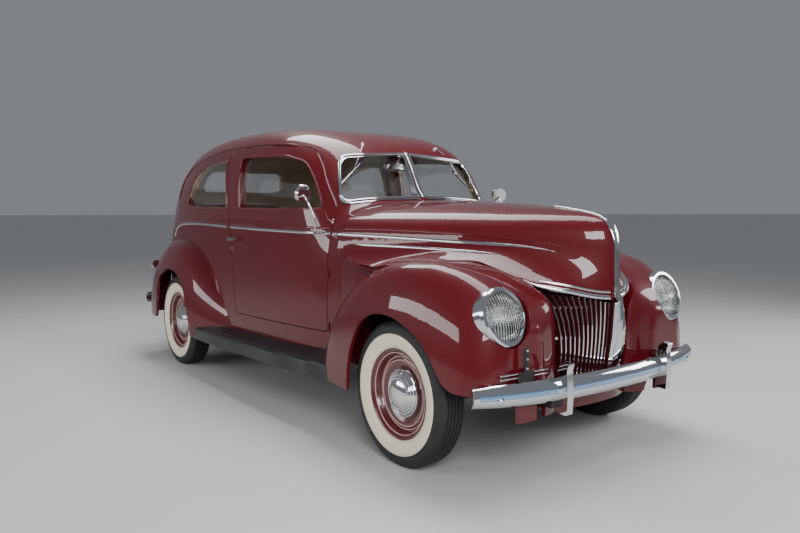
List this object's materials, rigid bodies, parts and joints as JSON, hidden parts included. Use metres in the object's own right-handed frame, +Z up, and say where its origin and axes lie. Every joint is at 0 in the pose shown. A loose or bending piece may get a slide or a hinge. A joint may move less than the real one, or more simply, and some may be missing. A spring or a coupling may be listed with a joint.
{
  "type": "two-door sedan car",
  "caption": "Rounded late 1930s two-door sedan with pontoon fenders, running boards, prow nose and barred grille; doors, hood, boot lid, steering and wheels move.",
  "frame": {"origin": "on the ground at the middle of the length and width", "axes": "+X to the front of the car, +Y to its left, +Z up"},
  "size_m": [4.5302, 1.7444, 1.7841],
  "materials": {
    "paint": "gloss maroon enamel",
    "glass": "clear safety glass",
    "chrome": "polished chromium plate",
    "board_rubber": "satin ribbed rubber on steel",
    "chassis_black": "satin black chassis paint",
    "lamp_glass": "fluted clear lens glass",
    "tyre": "matte black tread with a cream white wall",
    "wheel_paint": "gloss maroon steel disc with a bright cap",
    "engine_paint": "painted casting",
    "radiator_brass": "black painted core",
    "exhaust_steel": "dull steel tube",
    "seat_cloth": "taupe wool cloth",
    "dash_paint": "satin brown enamel",
    "wheel_plastic": "glossy moulded rim",
    "tail_glass": "red lens"
  },
  "bodies": {
    "chassis": {"body_shell": "paint", "windscreen_frame": "chrome", "fixed_glass": "glass", "front_fender_right": "paint", "front_fender_left": "paint", "rear_fender_right": "paint", "rear_fender_left": "paint", "running_boards": "board_rubber", "front_bumper": "chrome", "rear_bumper": "chrome", "front_floor": "chassis_black", "rear_floor": "chassis_black", "bulkhead": "chassis_black", "frame": "chassis_black", "cross_members": "chassis_black", "aprons": "chassis_black", "cowl_sides": "paint", "grille": "chrome", "front_valance": "paint", "headlamp_bezels": "chrome", "headlamp_lenses": "lamp_glass", "leaf_springs": "chassis_black", "front_axle": "chassis_black", "rear_axle": "chassis_black", "engine_block": "engine_paint", "driveline": "chassis_black", "radiator": "radiator_brass", "fuel_tank": "chassis_black", "exhaust": "exhaust_steel", "front_seat": "seat_cloth", "rear_seat": "seat_cloth", "dashboard": "dash_paint", "steering_column": "chassis_black", "tail_lamps": "tail_glass"},
    "door_right": {"door_right": "paint", "door_glass_right": "glass", "door_fittings_right": "chrome"},
    "door_left": {"door_left": "paint", "door_glass_left": "glass", "door_fittings_left": "chrome"},
    "hood": {"hood": "paint", "hood_ornament": "chrome"},
    "trunk_lid": {"trunk_lid": "paint"},
    "knuckle_right": {"knuckle_right": "chassis_black"},
    "knuckle_left": {"knuckle_left": "chassis_black"},
    "tie_rod": {"tie_rod": "chassis_black"},
    "steering_wheel": {"steering_wheel": "wheel_plastic"},
    "wheel_front_right": {"tyre_fr": "tyre", "wheel_fr": "wheel_paint"},
    "wheel_front_left": {"tyre_fl": "tyre", "wheel_fl": "wheel_paint"},
    "wheel_rear_right": {"tyre_rr": "tyre", "wheel_rr": "wheel_paint"},
    "wheel_rear_left": {"tyre_rl": "tyre", "wheel_rl": "wheel_paint"}
  },
  "joints": [
    {"name": "door_right_hinge", "type": "hinge", "parent": "chassis", "child": "door_right", "pos_m": [0.755, -0.682, 0.9], "axis": [0, 0, 1], "range_deg": [0, 62]},
    {"name": "door_left_hinge", "type": "hinge", "parent": "chassis", "child": "door_left", "pos_m": [0.755, 0.682, 0.9], "axis": [0, 0, -1], "range_deg": [0, 62]},
    {"name": "hood_hinge", "type": "hinge", "parent": "chassis", "child": "hood", "pos_m": [0.884, 0, 1.266], "axis": [0, -1, 0], "range_deg": [0, 42]},
    {"name": "trunk_lid_hinge", "type": "hinge", "parent": "chassis", "child": "trunk_lid", "pos_m": [-1.962, 0, 1.274], "axis": [0, 1, 0], "range_deg": [0, 58]},
    {"name": "steer_right", "type": "hinge", "parent": "chassis", "child": "knuckle_right", "pos_m": [1.545, -0.646, 0.351], "axis": [0, 0, 1], "range_deg": [-24, 24]},
    {"name": "steer_left", "type": "hinge", "parent": "chassis", "child": "knuckle_left", "pos_m": [1.545, 0.646, 0.351], "axis": [0, 0, 1], "range_deg": [-24, 24]},
    {"name": "tie_rod_pivot", "type": "hinge", "parent": "knuckle_right", "child": "tie_rod", "pos_m": [1.395, -0.646, 0.282], "axis": [0, 0, 1], "range_deg": [-24, 24]},
    {"name": "steering_wheel_spin", "type": "hinge", "parent": "chassis", "child": "steering_wheel", "pos_m": [0.33, 0.34, 1.09], "axis": [-0.8071, 0, 0.5904], "range_deg": [-360, 360]},
    {"name": "spin_front_right", "type": "hinge", "parent": "knuckle_right", "child": "wheel_front_right", "pos_m": [1.545, -0.708, 0.351], "axis": [0, 1, 0], "continuous": true},
    {"name": "spin_front_left", "type": "hinge", "parent": "knuckle_left", "child": "wheel_front_left", "pos_m": [1.545, 0.708, 0.351], "axis": [0, 1, 0], "continuous": true},
    {"name": "spin_rear_right", "type": "hinge", "parent": "chassis", "child": "wheel_rear_right", "pos_m": [-1.3, -0.74, 0.351], "axis": [0, 1, 0], "continuous": true},
    {"name": "spin_rear_left", "type": "hinge", "parent": "chassis", "child": "wheel_rear_left", "pos_m": [-1.3, 0.74, 0.351], "axis": [0, 1, 0], "continuous": true}
  ],
  "couplings": [
    {"joint": "steer_left", "follows": "steer_right", "ratio": 1},
    {"joint": "tie_rod_pivot", "follows": "steer_right", "ratio": -1},
    {"joint": "steering_wheel_spin", "follows": "steer_right", "ratio": 15}
  ]
}
